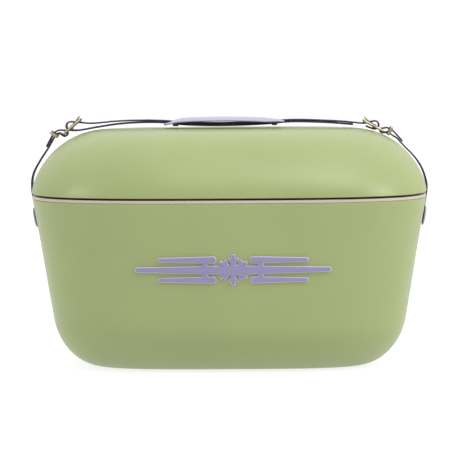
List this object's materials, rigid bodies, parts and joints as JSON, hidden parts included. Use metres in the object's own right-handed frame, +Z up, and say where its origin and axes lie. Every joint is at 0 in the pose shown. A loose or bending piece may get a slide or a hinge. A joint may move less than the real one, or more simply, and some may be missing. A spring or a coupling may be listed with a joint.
{
  "type": "insulated cooler chest",
  "caption": "Insulated carrying cooler: rounded double-walled tub, lift-off domed lid with a plug rim, and a leather strap with a grip pad buckled over the lid.",
  "frame": {"origin": "on the floor at the centre of the flat base", "axes": "+X to the cooler's right seen from the front, -Y out of the front face that carries the badge, +Z up"},
  "size_m": [0.4456, 0.31, 0.2786],
  "materials": {
    "green_plastic": "satin moulded",
    "cream_plastic": "satin",
    "foam": "foamed, hidden",
    "badge_face": "satin",
    "badge_edge": "satin",
    "lavender_button": "satin",
    "steel": "zinc plated",
    "gasket": "matt",
    "strap_leather": "dark edge, lavender outer face",
    "grip_leather": "smooth",
    "brass": "antiqued"
  },
  "bodies": {
    "chest": {"body_shell": "green_plastic", "body_insulation": "foam", "body_liner": "cream_plastic", "badge_base": "badge_edge", "badge_face": "badge_face", "anchor_button_left": "lavender_button", "anchor_button_right": "lavender_button", "stud_left": "steel", "stud_right": "steel", "washer_left": "steel", "washer_right": "steel"},
    "lid": {"lid_shell": "green_plastic", "lid_insulation": "foam", "lid_liner": "cream_plastic", "lid_gasket": "gasket"},
    "strap_base": {"lower_strap_left": "strap_leather", "lower_strap_right": "strap_leather"},
    "strap_top": {"upper_strap": "strap_leather", "grip": "grip_leather", "grip_loops": "strap_leather"},
    "buckle_l": {"buckle_frame_left": "brass"},
    "buckle_r": {"buckle_frame_right": "brass"},
    "prong_l": {"prong_left": "brass"},
    "prong_r": {"prong_right": "brass"},
    "keeper_l": {"keeper_left": "brass"},
    "keeper_r": {"keeper_right": "brass"}
  },
  "joints": [
    {"name": "lid_lift", "type": "slide", "parent": "chest", "child": "lid", "axis": [0, 0, 1], "range_m": [0, 0.085]},
    {"name": "strap_swing", "type": "hinge", "parent": "chest", "child": "strap_base", "pos_m": [0, 0, 0.165], "axis": [1, 0, 0], "range_deg": [-5, 5]},
    {"name": "strap_let_out", "type": "slide", "parent": "strap_base", "child": "strap_top", "axis": [0, 0, 1], "range_m": [0, 0.085], "deforming": ["lower_strap_left", "lower_strap_right"]},
    {"name": "buckle_tilt_left", "type": "hinge", "parent": "strap_top", "child": "buckle_l", "pos_m": [-0.17693, 0, 0.26561], "axis": [0, -1, 0], "range_deg": [0, 10]},
    {"name": "buckle_tilt_right", "type": "hinge", "parent": "strap_top", "child": "buckle_r", "pos_m": [0.16299, 0, 0.26509], "axis": [0, 1, 0], "range_deg": [0, 10]},
    {"name": "prong_lift_left", "type": "hinge", "parent": "buckle_l", "child": "prong_l", "pos_m": [-0.17693, 0, 0.26561], "axis": [0, -1, 0], "range_deg": [0, 70]},
    {"name": "prong_lift_right", "type": "hinge", "parent": "buckle_r", "child": "prong_r", "pos_m": [0.16299, 0, 0.26509], "axis": [0, 1, 0], "range_deg": [0, 70]},
    {"name": "keeper_slide_left", "type": "slide", "parent": "strap_top", "child": "keeper_l", "axis": [0.5446, 0, 0.8387], "range_m": [0, 0.003]},
    {"name": "keeper_slide_right", "type": "slide", "parent": "strap_top", "child": "keeper_r", "axis": [-0.866, 0, 0.5], "range_m": [0, 0.003]}
  ],
  "couplings": [
    {"joint": "strap_let_out", "follows": "lid_lift", "ratio": 1}
  ]
}
